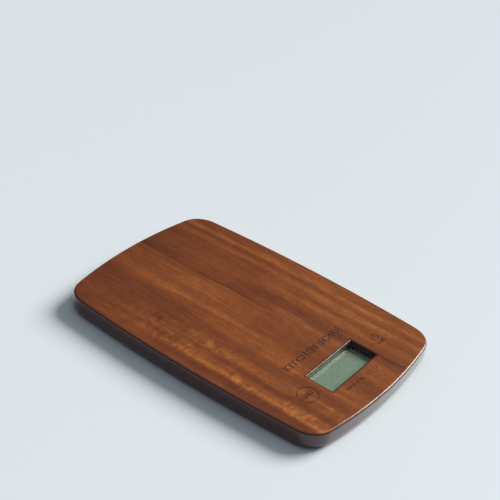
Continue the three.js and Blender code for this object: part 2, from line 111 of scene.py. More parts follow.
def stretched(tree, vector, factors):
    return put(tree, "ShaderNodeVectorMath", {0: vector, 1: factors}, operation="MULTIPLY").outputs[0]


def noise(tree, vector, factors, detail=2.0, roughness=0.5, distortion=0.0):
    """Noise whose frequency along each axis is given by factors."""
    values = {"Vector": stretched(tree, vector, factors), "Scale": 1.0, "Detail": detail,
              "Roughness": roughness, "Distortion": distortion}
    return put(tree, "ShaderNodeTexNoise", values).outputs["Fac"]


def smooth(tree, value, low, high, start=0.0, end=1.0, interpolation="SMOOTHSTEP"):
    """Goes smoothly from start to end as value goes from low to high."""
    values = {"Value": value, "From Min": low, "From Max": high, "To Min": start, "To Max": end}
    return put(tree, "ShaderNodeMapRange", values, interpolation_type=interpolation).outputs["Result"]


def plus(tree, value, marks, low, high, start, end):
    """Adds marks to a value, with the marks rescaled smoothly to start..end."""
    return calc(tree, "ADD", value, smooth(tree, marks, low, high, start, end))


def times(tree, value, marks, low, high, start=0.0, end=1.0):
    """Multiplies a value by marks, rescaled smoothly to start..end."""
    return calc(tree, "MULTIPLY", value, smooth(tree, marks, low, high, start, end))


def ramp(tree, value, stops, interpolation="LINEAR"):
    """A colour ramp; each stop is (position, grey or colour)."""
    node = put(tree, "ShaderNodeValToRGB", {"Fac": value})
    node.color_ramp.interpolation = interpolation
    elements = node.color_ramp.elements
    while len(elements) < len(stops):
        elements.new(1.0)
    for element, (position, shade) in zip(elements, stops):
        element.position = position
        element.color = (*shade, 1) if isinstance(shade, tuple) else (shade, shade, shade, 1)
    return node.outputs["Color"]


def blended(tree, factor, a, b, blend_type="MIX"):
    """Mixes two colours. A Mix node has one set of sockets per data type; colours are numbers 6 and 7."""
    node = put(tree, "ShaderNodeMix", data_type="RGBA", blend_type=blend_type)
    fill(tree, node, {0: factor, 6: a, 7: b})
    return node.outputs[2]


def new_group(name, inputs, outputs):
    """Starts a node group; inputs and outputs are (name, socket kind) pairs."""
    group = bpy.data.node_groups.new(name, "ShaderNodeTree")
    for label, kind in inputs:
        group.interface.new_socket(label, in_out="INPUT", socket_type="NodeSocket" + kind)
    for label, kind in outputs:
        group.interface.new_socket(label, in_out="OUTPUT", socket_type="NodeSocket" + kind)
    return group, group.nodes.new("NodeGroupInput").outputs, group.nodes.new("NodeGroupOutput")


print("node helpers ready")

# %% More node helpers: materials
def new_material(name):
    """Starts a material and returns it with its tree, its Principled shader and its place in millimetres."""
    material = bpy.data.materials.new(name)
    material.use_nodes = True
    tree = material.node_tree
    shader = tree.nodes["Principled BSDF"]
    place = put(tree, "ShaderNodeTexCoord").outputs["Object"]
    return material, tree, shader, stretched(tree, place, (1 / MM, 1 / MM, 1 / MM))


def use_group(tree, group, **values):
    """Places a node group in a material; values are named by the group's inputs."""
    node = put(tree, "ShaderNodeGroup", node_tree=group)
    fill(tree, node, values)
    return node.outputs


def bump(tree, shader, height, distance):
    """Feeds a height in 0..1 to the shader's normal; distance is in metres."""
    values = {"Height": height, "Distance": distance}
    tree.links.new(put(tree, "ShaderNodeBump", values).outputs["Normal"], shader.inputs["Normal"])


def feed(tree, shader, **values):
    """Sets or links inputs of the Principled shader, such as Base_Color."""
    fill(tree, shader, {label.replace("_", " "): value for label, value in values.items()})


print("material helpers ready")

# %% [markdown]
# ## Light
# The scale lies in window light: one large soft source low on its right, and a dim room that is brighter
# overhead than at the horizon. An area lamp could stand for the window, but it would get weaker across the
# table, so a sun with a wide angle is used: its shadows are as soft and its light is even. The room is a
# world colour that rises with height. It is kept dark near the horizon, because the lacquer mirrors that
# part of it towards the camera, and only the side of the window glows down to the table, which brightens
# the front rim. The Standard view keeps colours as they are set.

# %% Soft light from the right
def look_from(azimuth, elevation):
    """Returns the turn of a lamp that shines from this azimuth, counted from +X, and elevation."""
    a, e = math.radians(azimuth), math.radians(elevation)
    return Vector((math.cos(a) * math.cos(e), math.sin(a) * math.cos(e), math.sin(e))).to_track_quat("Z", "Y")


SUN_AZIMUTH, SUN_ELEVATION, SUN_WIDTH = -20, 34, 32

sun_data = bpy.data.lights.new("window light", "SUN")
sun_data.energy = 4.1
sun_data.angle = math.radians(SUN_WIDTH)
sun_data.color = (1.0, 0.985, 0.96)
sun = bpy.data.objects.new("window light", sun_data)
sun.matrix_world = look_from(SUN_AZIMUTH, SUN_ELEVATION).to_matrix().to_4x4()
scene.collection.objects.link(sun)
scene.view_settings.view_transform = "Standard"
print("window light:", sun_data.energy, "W per square metre")

# %% World: a dim room that glows beside the window
HORIZON, OVERHEAD, GLOW = (0.050, 0.054, 0.060, 1), (0.43, 0.470, 0.515, 1), (0.40, 0.42, 0.44, 1)
GLOW_SIDE = (0.70, -0.70, 0.14)

room = bpy.data.worlds.new("dim room")
room.use_nodes = True
scene.world = room
tree = room.node_tree
tree.nodes.clear()
direction = put(tree, "ShaderNodeTexCoord").outputs["Generated"]
height = put(tree, "ShaderNodeSeparateXYZ", {0: direction}).outputs["Z"]
air = blended(tree, smooth(tree, height, 0.35, 1.0), HORIZON, OVERHEAD)
sideways = put(tree, "ShaderNodeVectorMath", {0: direction, 1: GLOW_SIDE}, operation="DOT_PRODUCT")
air = blended(tree, smooth(tree, sideways.outputs["Value"], 0.80, 0.97), air, GLOW)
background = put(tree, "ShaderNodeBackground", {"Color": air})
put(tree, "ShaderNodeOutputWorld", {"Surface": background.outputs["Background"]})
print("world nodes:", len(tree.nodes))

# %% [markdown]
# ## Helpers for shapes
# Every new piece is drawn in millimetres with bmesh operators and is scaled to metres once, when it becomes
# an object. Pockets and holes are cut with the Boolean modifier, which is applied at once. The edges that
# must look crisp are marked by their angle, and a Weighted Normal modifier keeps big flat faces flat next
# to the small rounded edges.

# %% Shape helpers: starting shapes
def box_in(bm, low, high):
    """Adds a box between two corners."""
    size = Vector(high) - Vector(low)
    middle = (Vector(high) + Vector(low)) / 2
    place = Matrix.Translation(middle) @ Matrix.Diagonal((*size, 1))
    return bmesh.ops.create_cube(bm, size=1, matrix=place)["verts"]


def rod_in(bm, x, y, radius, z0, z1, segments=40):
    """Adds an upright round bar."""
    place = Matrix.Translation((x, y, (z0 + z1) / 2))
    sizes = {"radius1": radius, "radius2": radius, "depth": z1 - z0}
    return bmesh.ops.create_cone(bm, cap_ends=True, segments=segments, matrix=place, **sizes)["verts"]


def turned_in(bm, profile, x=0.0, y=0.0, steps=64, closed=False):
    """Spins a (radius, height) line once round the upright line through x, y."""
    points = [bm.verts.new((x + r, y, z)) for r, z in profile]
    pairs = list(zip(points, points[1:])) + ([(points[-1], points[0])] if closed else [])
    edges = [bm.edges.new(pair) for pair in pairs]
    how = {"cent": (x, y, 0), "axis": (0, 0, 1), "angle": math.tau, "steps": steps, "use_merge": True}
    bmesh.ops.spin(bm, geom=points + edges, **how)
    bmesh.ops.remove_doubles(bm, verts=bm.verts, dist=1e-5)
    bmesh.ops.dissolve_degenerate(bm, edges=bm.edges, dist=1e-5)


def rounded_face(bm, w, h, r, x, y, z, segments=6):
    """Adds a flat rectangle with round corners and returns its face."""
    place = Matrix.Translation((x, y, z)) @ Matrix.Diagonal((w, h, 1, 1))
    verts = bmesh.ops.create_grid(bm, x_segments=1, y_segments=1, size=0.5, matrix=place)["verts"]
    how = {"affect": "VERTICES", "offset_type": "OFFSET", "profile": 0.5, "material": -1}
    made = bmesh.ops.bevel(bm, geom=verts, offset=r, segments=segments, **how)
    return max({f for v in made["verts"] for f in v.link_faces}, key=lambda f: f.calc_area())


def raised(bm, face, height):
    """Extrudes a face straight up."""
    made = bmesh.ops.extrude_face_region(bm, geom=[face])["geom"]
    bmesh.ops.translate(bm, verts=[v for v in made if isinstance(v, bmesh.types.BMVert)], vec=(0, 0, height))


def rounded_prism(bm, w, h, r, x, y, z0, z1, segments=6):
    raised(bm, rounded_face(bm, w, h, r, x, y, z0, segments), z1 - z0)


print("shape helpers ready")

# %% Shape helpers: softened edges, meshes and cuts
def soften(bm, width, segments=3, least_angle=40, where=None):
    """Rounds every edge sharper than an angle, or only those that where() accepts."""
    bmesh.ops.recalc_face_normals(bm, faces=bm.faces)
    limit = math.radians(least_angle)
    edges = [e for e in bm.edges if len(e.link_faces) == 2 and e.calc_face_angle(0) > limit]
    edges = [e for e in edges if where is None or where(e)]
    how = {"affect": "EDGES", "offset_type": "OFFSET", "profile": 0.5, "material": -1, "clamp_overlap": True}
    bmesh.ops.bevel(bm, geom=edges, offset=width, segments=segments, **how)


def to_mesh(bm, name):
    bmesh.ops.recalc_face_normals(bm, faces=bm.faces)
    mesh = bpy.data.meshes.new(name)
    bm.to_mesh(mesh)
    bm.free()
    return mesh


def cut(mesh, bm, operation="DIFFERENCE", crossing=False):
    """Cuts the shapes in bm out of a mesh, or joins them to it; crossing is for shapes that overlap."""
    block = bpy.data.objects.new("block", mesh)
    tool = bpy.data.objects.new("tool", to_mesh(bm, "tool"))
    for item in (block, tool):
        scene.collection.objects.link(item)
    modifier = block.modifiers.new("cut", "BOOLEAN")
    modifier.object = tool
    modifier.operation = operation
    modifier.solver = "EXACT"
    modifier.use_self = crossing
    graph = bpy.context.evaluated_depsgraph_get()
    result = bpy.data.meshes.new_from_object(block.evaluated_get(graph))
    for item in (block, tool):
        bpy.data.objects.remove(item)
    result.name = mesh.name
    return result


def finish_piece(name, mesh, body, materials, nodes=(), sharp=32):
    """Turns a mesh in millimetres into a finished piece that rides on a body and stands for its nodes."""
    mesh.transform(Matrix.Scale(MM, 4))
    for material in materials:
        mesh.materials.append(material)
    mesh.shade_smooth()
    mesh.set_sharp_from_angle(angle=math.radians(sharp))
    piece = bpy.data.objects.new(name, mesh)
    scene.collection.objects.link(piece)
    flat = piece.modifiers.new("flat faces stay flat", "WEIGHTED_NORMAL")
    flat.keep_sharp = True
    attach(piece, body)
    if nodes:
        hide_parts(*nodes)
    return piece


print("cutting helpers ready")

# %% Shape helpers: lettering
def letters(bm, words, width, height, x, y, z0, z1, weight=0.0, spacing=1.0):
    """Adds upright block letters, fitted to a width and a height, as a solid between two levels."""
    font = bpy.data.curves.new("letters", "FONT")
    font.body = words
    font.resolution_u = 4
    font.offset = weight
    font.space_character = spacing
    font.extrude = 0.5
    sign = bpy.data.objects.new("letters", font)
    scene.collection.objects.link(sign)
    graph = bpy.context.evaluated_depsgraph_get()
    mesh = bpy.data.meshes.new_from_object(sign.evaluated_get(graph))
    bpy.data.objects.remove(sign)
    before = set(bm.verts)
    bm.from_mesh(mesh)
    verts = [v for v in bm.verts if v not in before]
    low = Vector([min(v.co[i] for v in verts) for i in range(3)])
    high = Vector([max(v.co[i] for v in verts) for i in range(3)])
    bmesh.ops.translate(bm, verts=verts, vec=-(low + high) / 2)
    size = high - low
    bmesh.ops.scale(bm, verts=verts, vec=(width / size.x, height / size.y, (z1 - z0) / size.z))
    bmesh.ops.translate(bm, verts=verts, vec=(x, y, (z0 + z1) / 2))
    bmesh.ops.remove_doubles(bm, verts=verts, dist=1e-4)
    bpy.data.meshes.remove(mesh)


print("lettering helper ready")

# %% [markdown]
# ## Table top
# The table is only there to carry the shadow and to be mirrored in the lacquered edges, so it is a large
# plain pale disc with a faint cool tint. It belongs to the stage, not to the object.

# %% Pale table
TABLE_RADIUS = 6.0

bm = bmesh.new()
bmesh.ops.create_circle(bm, cap_ends=True, segments=96, radius=TABLE_RADIUS)
table_mesh = to_mesh(bm, "table")
table = bpy.data.objects.new("table", table_mesh)
scene.collection.objects.link(table)
pale, tree, shader, place = new_material("pale stone")
feed(tree, shader, Base_Color=(0.73, 0.785, 0.815, 1), Roughness=0.55)
table_mesh.materials.append(pale)
print("table radius in m:", TABLE_RADIUS)

# %% [markdown]
# ## Finish: the figure of the wood
# The slab is sawn along the trunk, so its growth bands run from end to end and differ across its width: a
# dark heart streak with a sharp left edge, quiet brown between, and golden streaks along the sides. A Wave
# texture would give even stripes. Here two colour ramps hold the bands as a maker would note them from left
# to right, one for the far end and one for the near end, and a slow noise bends them. Fibres and pores are
# noise stretched along the grain. A patch of short waves across the grain on the left gives the ripple of
# interlocked wood as painted sheen, the light and dark bands of its reflection, and the golden streak there
# is partly grain colour and partly painted sheen. The result is one node group, used for the lacquered, burnt
# and bare wood alike.

# %% Growth bands, noted from left to right as (mm from the middle, tone)
HALF_BOARD = 80.0
FAR_BANDS = (
    (-76, 0.38), (-69, 0.47), (-63, 0.44), (-56, 0.52), (-48, 0.44), (-38, 0.40), (-28, 0.38), (-22, 0.46),
    (-16, 0.66), (-6, 0.58), (4, 0.62), (12.4, 0.54), (13.8, 0.24), (20, 0.34), (27, 0.42), (32, 0.50),
    (40, 0.46), (49, 0.44), (55, 0.62), (60.5, 0.44), (65.5, 0.78), (71, 0.50), (77, 0.50),
)
NEAR_BANDS = (
    (-77, 0.42), (-71, 0.34), (-65.5, 0.84), (-61, 0.66), (-55.5, 0.30), (-50, 0.64), (-45, 0.66),
    (-40, 0.42), (-36, 0.44), (-29, 0.70), (-19, 0.62), (-9, 0.46), (-3, 0.46), (6, 0.54), (14, 0.56),
    (19.5, 0.60), (24.5, 0.36), (29, 0.26), (34, 0.50), (40, 0.66), (46, 0.54), (55, 0.68), (61, 0.50),
    (66.5, 0.74), (72, 0.54), (77, 0.58),
)


def band_stops(bands):
    return [((x + HALF_BOARD) / (2 * HALF_BOARD), tone) for x, tone in bands]


print("growth bands noted:", len(FAR_BANDS), "far,", len(NEAR_BANDS), "near")

# %% Node group: figured wood, its sockets and a distance that it uses twice
figure, given, result = new_group(
    "figured wood", [("Place", "Vector")], [("Tone", "Float"), ("Fibre", "Float"), ("Pores", "Float")]
)
P = given["Place"]


def distance_to(centre, stretch):
    """Distance to a point on the top, with each axis stretched."""
    apart = put(figure, "ShaderNodeVectorMath", {0: P, 1: centre}, operation="SUBTRACT").outputs[0]
    apart = stretched(figure, apart, stretch)
    return put(figure, "ShaderNodeVectorMath", {0: apart}, operation="LENGTH").outputs["Value"]


print("figured wood gives:", ", ".join(socket.name for socket in result.inputs if socket.name))

# %% Node group: figured wood, the bands, bent by a slow drift
axes = put(figure, "ShaderNodeSeparateXYZ", {0: P}).outputs
drift = noise(figure, P, (0.004, 0.011, 0.03), detail=2)
waver = noise(figure, P, (0.03, 0.03, 0.05), detail=3)
across = plus(figure, axes["X"], drift, 0.25, 0.75, -2.2, 2.2)
across = plus(figure, across, waver, 0.2, 0.8, -1.2, 1.2)
unit = smooth(figure, across, -HALF_BOARD, HALF_BOARD, interpolation="LINEAR")
far_tone = ramp(figure, unit, band_stops(FAR_BANDS), "EASE")
near_tone = ramp(figure, unit, band_stops(NEAR_BANDS), "EASE")
towards = plus(figure, axes["Y"], waver, 0.2, 0.8, -14.0, 14.0)
nearness = smooth(figure, towards, 42.0, -22.0)
bands = blended(figure, nearness, far_tone, near_tone)
print("bands drawn with", len(figure.nodes), "nodes")

# %% Node group: figured wood, the finer marks
streaks = noise(figure, P, (0.22, 0.011, 0.22), detail=3, roughness=0.6)
lines = noise(figure, P, (1.3, 0.06, 1.3), detail=3, roughness=0.7)
flecks = noise(figure, P, (1.7, 0.42, 1.7), detail=3, roughness=0.75)
clouds = noise(figure, P, (0.045, 0.030, 0.04), detail=4, roughness=0.6)
tone = plus(figure, bands, streaks, 0.25, 0.75, -0.10, 0.10)
tone = plus(figure, tone, lines, 0.25, 0.75, -0.09, 0.09)
tone = plus(figure, tone, flecks, 0.25, 0.75, -0.13, 0.13)
tone = plus(figure, tone, clouds, 0.25, 0.75, -0.09, 0.09)
print("fine marks: streaks, lines, flecks, clouds")

# %% Node group: figured wood, ripple and golden streak on the left side, partly painted sheen
# painted sheen: the ripple's light and dark bands stand for the shifting reflection of interlocked grain
waves = noise(figure, P, (0.12, 0.30, 0.12), detail=4, roughness=0.75)
ripple_sheen_patches = noise(figure, P, (0.06, 0.030, 0.06), detail=2)
left_side = times(figure, smooth(figure, across, -32.0, -52.0), across, -77.0, -67.0)
ripple_sheen_patches = calc(figure, "MULTIPLY", smooth(figure, ripple_sheen_patches, 0.36, 0.60), left_side)
ripple_sheen_patches = times(figure, ripple_sheen_patches, axes["Y"], 72.0, 36.0, 0.35, 1.0)
tone = calc(figure, "ADD", tone, times(figure, ripple_sheen_patches, waves, 0.30, 0.70, -0.21, 0.23))

# the golden streak is partly real grain colour and partly a painted sheen
gold_and_sheen = calc(figure, "SUBTRACT", smooth(figure, across, -69.0, -63.0), smooth(figure, across, -61.5, -56.0))
gold_and_sheen = times(figure, gold_and_sheen, axes["Y"], -38.0, -70.0, 0.0, 0.14)
gold_and_sheen = times(figure, gold_and_sheen, axes["Y"], -108.0, -86.0, 0.2, 1.0)
gold_and_sheen = times(figure, gold_and_sheen, waves, 0.32, 0.60, 0.45, 1.25)
tone = calc(figure, "ADD", tone, gold_and_sheen)
print("ripple and gold streak added")

# %% Node group: figured wood, pale patch, dark far end and knot
PALE_PATCH, KNOT = (-12.0, 0.0, 14.5), (27.6, -26.0, 14.5)
tone = plus(figure, tone, distance_to(PALE_PATCH, (1.0, 0.75, 0.3)), 26.0, 4.0, 0.0, 0.11)
tone = plus(figure, tone, axes["Y"], 60.0, 112.0, 0.0, -0.17)
tone = plus(figure, tone, distance_to(KNOT, (1, 0.45, 0.3)), 3.2, 0.0, 0.0, -0.22)

fibre = noise(figure, P, (3.4, 0.12, 3.4), detail=3, roughness=0.7)
pores = smooth(figure, noise(figure, P, (2.8, 0.24, 2.8), detail=1), 0.61, 0.72)
figure.links.new(calc(figure, "ADD", tone, 0.0, clamp=True), result.inputs["Tone"])
figure.links.new(fibre, result.inputs["Fibre"])
figure.links.new(pores, result.inputs["Pores"])
print("wood group holds", len(figure.nodes), "nodes")

# %% [markdown]
# ## Finish: lacquered wood
# The maker stains the edges nearly black, lets the stain thin out at the rim, and lacquers the whole. The
# colour comes from the figure's tone, and the stain from the way the surface faces: the top is bare, the
# rounded rim and the walls are stained. Painting the edge on a separate material would leave a hard line,
# so one material with a mask is used. The walls carry a thicker, glossier coat than the top, and the wood
# is darkened for a millimetre or so around the window as painted shade, where the rim dips into the recess.

# %% Colour of bare wood
WOOD_TONES = (
    (0.0, (0.084, 0.021, 0.0066)), (0.25, (0.138, 0.035, 0.0098)), (0.5, (0.204, 0.053, 0.0135)),
    (0.72, (0.282, 0.080, 0.0190)), (1.0, (0.49, 0.175, 0.040)),
)
PORE_BROWN = (0.035, 0.010, 0.004, 1)


def wood_colour(tree, place):
    """Returns the bare wood's colour and the outputs of the figure group."""
    marks = use_group(tree, figure, Place=place)
    colour = ramp(tree, marks["Tone"], WOOD_TONES)
    fibres = smooth(tree, marks["Fibre"], 0.3, 0.7, 0.86, 1.12)
    colour = blended(tree, 1.0, colour, fibres, "MULTIPLY")
    pores = calc(tree, "MULTIPLY", marks["Pores"], 0.45)
    return blended(tree, pores, colour, PORE_BROWN), marks


print("wood tones:", len(WOOD_TONES))

# %% Material: lacquered wood with stained edges and painted shade round the window rim
EDGE_STAIN = (0.052, 0.0120, 0.0095, 1)
WINDOW_W, WINDOW_H, WINDOW_Y = 55.4, 21.5, -78.3

lacquered, tree, shader, place = new_material("lacquered wood")
colour, marks = wood_colour(tree, place)
facing = put(tree, "ShaderNodeTexCoord").outputs["Normal"]
up = put(tree, "ShaderNodeSeparateXYZ", {0: facing}).outputs["Z"]
uneven = noise(tree, place, (0.12, 0.12, 0.3), detail=3)
up = plus(tree, up, uneven, 0.3, 0.7, -0.03, 0.03)
stain = smooth(tree, up, 0.98, 0.60)
stained = calc(tree, "MULTIPLY", stain, 0.94)
axes = put(tree, "ShaderNodeSeparateXYZ", {0: place}).outputs
beside = calc(tree, "SUBTRACT", calc(tree, "ABSOLUTE", axes["X"]), WINDOW_W / 2)
ahead = calc(tree, "ABSOLUTE", calc(tree, "SUBTRACT", axes["Y"], WINDOW_Y))
ahead = calc(tree, "SUBTRACT", ahead, WINDOW_H / 2)
# painted shade: the wood darkens within about 2 mm of the window's edge, standing in for shade at the recess
# rim
painted_rim_shade = smooth(tree, calc(tree, "MAXIMUM", beside, ahead), 2.0, 0.7, 0.0, 0.80)
stained = calc(tree, "MAXIMUM", stained, painted_rim_shade)
colour = blended(tree, stained, colour, EDGE_STAIN)
rub = noise(tree, place, (0.05, 0.05, 0.05), detail=4)
satin = plus(tree, smooth(tree, stain, 0.0, 1.0, 0.34, 0.24), rub, 0.3, 0.7, -0.03, 0.04)
coat = smooth(tree, up, 0.98, 0.74, 0.05, 1.0)
feed(tree, shader, Base_Color=colour, Roughness=satin, Coat_Weight=coat, Coat_Roughness=0.10, IOR=1.34)
relief = calc(tree, "SUBTRACT", calc(tree, "MULTIPLY", marks["Fibre"], 0.35), marks["Pores"])
relief = times(tree, relief, stain, 0.0, 1.0, 1.0, 0.25)
bump(tree, shader, relief, 0.00003)
print("lacquered wood:", len(tree.nodes), "nodes")

# %% Materials: burnt lettering, bare routed wood and window wall
# the window walls' colour is dark stain lifted to a grey mauve, partly a painted reflection of light on the
# window's back wall
CHAR, FRESH_CUT, WALL_STAIN_AND_REFLECTION = (0.048, 0.0180, 0.0125, 1), (0.33, 0.17, 0.085, 1), (0.105, 0.070, 0.074, 1)

burnt, tree, shader, place = new_material("burnt wood")
colour, marks = wood_colour(tree, place)
char = smooth(tree, noise(tree, place, (1.6, 1.2, 1.6), detail=3), 0.3, 0.7, 0.62, 0.90)
colour = blended(tree, char, colour, CHAR)
feed(tree, shader, Base_Color=colour, Roughness=smooth(tree, marks["Fibre"], 0.3, 0.7, 0.45, 0.7))
bump(tree, shader, marks["Fibre"], 0.00006)

bare, tree, shader, place = new_material("bare routed wood")
colour, marks = wood_colour(tree, place)
rings = put(tree, "ShaderNodeTexWave", {"Vector": place, "Scale": 0.55, "Distortion": 1.5, "Detail": 2.0})
colour = blended(tree, 0.35, colour, FRESH_CUT)
feed(tree, shader, Base_Color=colour, Roughness=smooth(tree, marks["Fibre"], 0.3, 0.7, 0.6, 0.85))
relief = calc(tree, "ADD", calc(tree, "MULTIPLY", rings.outputs["Fac"], 0.4), marks["Fibre"])
bump(tree, shader, relief, 0.00005)

window_wall, tree, shader, place = new_material("window wall stain and painted reflection")
colour, marks = wood_colour(tree, place)
# painted reflection: the stain is lighter and greyer than the outer walls' stain, standing for the light the
# back wall mirrors
colour = blended(tree, 0.94, colour, WALL_STAIN_AND_REFLECTION)
feed(tree, shader, Base_Color=colour, Roughness=smooth(tree, marks["Fibre"], 0.3, 0.7, 0.38, 0.44))
bump(tree, shader, marks["Fibre"], 0.000004)
print("wood finishes: lacquered, burnt, bare, window wall")

# %% [markdown]
# ## Finish: plastics, rubber and foam
# Moulded plastic takes the spark-eroded texture of its mould: fine even pits, and a sheen that varies a
# little where hands and the mould have rubbed it. One group gives that texture, the sheen and fine
# scratches, and each plastic sets its own grain size and its own depth.

# %% Node group: moulded surface
moulded, given, result = new_group(
    "moulded surface",
    [("Place", "Vector"), ("Grain", "Float"), ("Roughness", "Float")],
    [("Height", "Float"), ("Roughness", "Float"), ("Shade", "Float")],
)
scaled = put(moulded, "ShaderNodeVectorMath", {0: given["Place"], "Scale": given["Grain"]}, operation="SCALE")
pits = noise(moulded, scaled.outputs[0], (1, 1, 1), detail=2, roughness=0.6)
rubbed = noise(moulded, given["Place"], (0.06, 0.05, 0.06), detail=4, roughness=0.6)
scratch = noise(moulded, given["Place"], (0.9, 0.05, 0.9), detail=2, distortion=0.8)
scratch = smooth(moulded, scratch, 0.66, 0.72)
rough = plus(moulded, given["Roughness"], rubbed, 0.3, 0.7, -0.09, 0.06)
rough = calc(moulded, "ADD", rough, calc(moulded, "MULTIPLY", scratch, -0.08), clamp=True)
dust = smooth(moulded, noise(moulded, given["Place"], (0.4, 0.4, 0.4), detail=5, roughness=0.7), 0.5, 0.8)
height = calc(moulded, "SUBTRACT", pits, calc(moulded, "MULTIPLY", scratch, 0.3))
moulded.links.new(height, result.inputs["Height"])
moulded.links.new(rough, result.inputs["Roughness"])
moulded.links.new(dust, result.inputs["Shade"])
print("moulded surface group:", len(moulded.nodes), "nodes")


# %% Materials made with the moulded surface
def moulded_material(name, colour, dusty, grain, roughness, depth, **constants):
    """A plastic or rubber: a colour, its dusty version, the grain per mm, the roughness and the pit depth."""
    material, tree, shader, place = new_material(name)
    marks = use_group(tree, moulded, Place=place, Grain=grain, Roughness=roughness)
    tint = blended(tree, calc(tree, "MULTIPLY", marks["Shade"], 0.6), (*colour, 1), (*dusty, 1))
    feed(tree, shader, Base_Color=tint, Roughness=marks["Roughness"], **constants)
    bump(tree, shader, marks["Height"], depth)
    return material


black_plastic = moulded_material(
    "black plastic", (0.014, 0.014, 0.016), (0.040, 0.040, 0.042), 4.5, 0.5, 0.00003
)
white_plastic = moulded_material("white plastic", (0.68, 0.68, 0.65), (0.55, 0.54, 0.50), 3.0, 0.45, 0.00001)
grey_rubber = moulded_material("grey rubber", (0.050, 0.050, 0.053), (0.13, 0.125, 0.12), 2.2, 0.8, 0.00004)
foam = moulded_material("closed-cell foam", (0.018, 0.018, 0.018), (0.035, 0.035, 0.035), 1.6, 0.95, 0.00015)
silicone = moulded_material(
    "white silicone", (0.80, 0.80, 0.77), (0.70, 0.69, 0.64), 0.8, 0.4, 0.00008, Subsurface_Weight=0.15,
    Subsurface_Scale=0.002
)
potting = moulded_material("potting resin", (0.013, 0.013, 0.015), (0.03, 0.03, 0.03), 0.6, 0.22, 0.00004)
red_lead = moulded_material("red lead", (0.38, 0.018, 0.013), (0.30, 0.05, 0.04), 2.0, 0.38, 0.00001)
black_lead = moulded_material("black lead", (0.012, 0.012, 0.012), (0.03, 0.03, 0.03), 2.0, 0.38, 0.00001)
grey_lead = moulded_material("grey lead", (0.25, 0.26, 0.28), (0.20, 0.20, 0.20), 2.0, 0.4, 0.00001)
print("moulded materials: 9")

# %% [markdown]
# ## Finish: metals
# Sheet steel keeps the direction in which it was rolled: fine lines along one axis that widen its
# highlights. Plating adds faint clouds. The lines are noise stretched along that axis, and they feed both
# the roughness and a very shallow bump.

# %% Node group and materials: plated steel
rolled, given, result = new_group(
    "rolled metal",
    [("Place", "Vector"), ("Roughness", "Float")],
    [("Height", "Float"), ("Roughness", "Float"), ("Cloud", "Float")],
)
grain_lines = noise(rolled, given["Place"], (0.5, 9.0, 9.0), detail=3, roughness=0.7)
cloud = noise(rolled, given["Place"], (0.35, 0.35, 0.35), detail=4, roughness=0.6)
rough = plus(rolled, given["Roughness"], grain_lines, 0.3, 0.7, -0.07, 0.10)
rough = calc(rolled, "ADD", rough, smooth(rolled, cloud, 0.3, 0.7, -0.05, 0.05), clamp=True)
rolled.links.new(grain_lines, result.inputs["Height"])
rolled.links.new(rough, result.inputs["Roughness"])
rolled.links.new(smooth(rolled, cloud, 0.35, 0.75), result.inputs["Cloud"])


def metal_material(name, bright, dull, roughness):
    """A plated steel: its clean colour, its clouded colour and its roughness."""
    material, tree, shader, place = new_material(name)
    marks = use_group(tree, rolled, Place=place, Roughness=roughness)
    tint = blended(tree, marks["Cloud"], (*bright, 1), (*dull, 1))
    feed(tree, shader, Base_Color=tint, Roughness=marks["Roughness"], Metallic=1.0)
    bump(tree, shader, marks["Height"], 0.000006)
    return material


nickel = metal_material("nickel-plated steel", (0.66, 0.65, 0.62), (0.55, 0.53, 0.49), 0.26)
zinc = metal_material("zinc-plated steel", (0.56, 0.57, 0.59), (0.42, 0.43, 0.44), 0.36)
cell_steel = metal_material("stamped steel", (0.50, 0.50, 0.50), (0.36, 0.36, 0.36), 0.42)
print("metals: nickel, zinc, stamped steel")

# %% [markdown]
# ## Finish: glass, display and circuit board
# The pane is clear acrylic. Glass in a path tracer stops the sun's light from reaching the display under
# it, and light that finds its way through by chance shows as specks, so the Light Path node lets every ray
# except the camera's own pass straight through. The display is a reflective cell, which is grey-green
# liquid crystal over a brushed reflector, so it is a dull metallic green with fine grain and a slow
# mottling. The board is green solder mask over copper, which shows as slightly lighter tracks.

# %% Material: clear pane
clear, tree, shader, place = new_material("clear pane")
paths = put(tree, "ShaderNodeLightPath").outputs
passing = calc(tree, "MAXIMUM", paths["Is Shadow Ray"], paths["Is Diffuse Ray"])
passing = calc(tree, "MAXIMUM", passing, paths["Is Glossy Ray"])
alpha = calc(tree, "SUBTRACT", 1.0, passing)
smear = smooth(tree, noise(tree, place, (0.10, 0.16, 0.1), detail=4), 0.4, 0.75, 0.04, 0.07)
feed(tree, shader, Base_Color=(0.93, 0.95, 0.93, 1), Roughness=smear, IOR=1.49, Transmission_Weight=1.0)
feed(tree, shader, Alpha=alpha)
print("clear pane ready")

# %% Materials: display glass and unlit segments
CELL_GREENS = (0.192, 0.260, 0.180, 1), (0.206, 0.277, 0.193, 1)
SEGMENT_GREENS = (0.176, 0.240, 0.166, 1), (0.184, 0.249, 0.173, 1)

display_glass, tree, shader, place = new_material("display glass")
mottle = noise(tree, place, (0.12, 0.12, 0.12), detail=3)
brushed = noise(tree, place, (6.0, 0.25, 6.0), detail=2)
green = blended(tree, smooth(tree, mottle, 0.3, 0.7), *CELL_GREENS)
green = blended(tree, 1.0, green, smooth(tree, brushed, 0.3, 0.7, 0.97, 1.03), "MULTIPLY")
feed(tree, shader, Base_Color=green, Roughness=smooth(tree, brushed, 0.3, 0.7, 0.50, 0.56), Metallic=0.85)

unlit, tree, shader, place = new_material("unlit segments")
grain = noise(tree, place, (0.5, 0.5, 0.5), detail=2)
grey_green = blended(tree, smooth(tree, grain, 0.3, 0.7), *SEGMENT_GREENS)
feed(tree, shader, Base_Color=grey_green, Roughness=smooth(tree, grain, 0.3, 0.7, 0.50, 0.56), Metallic=0.85)
print("display glass and unlit segments ready")

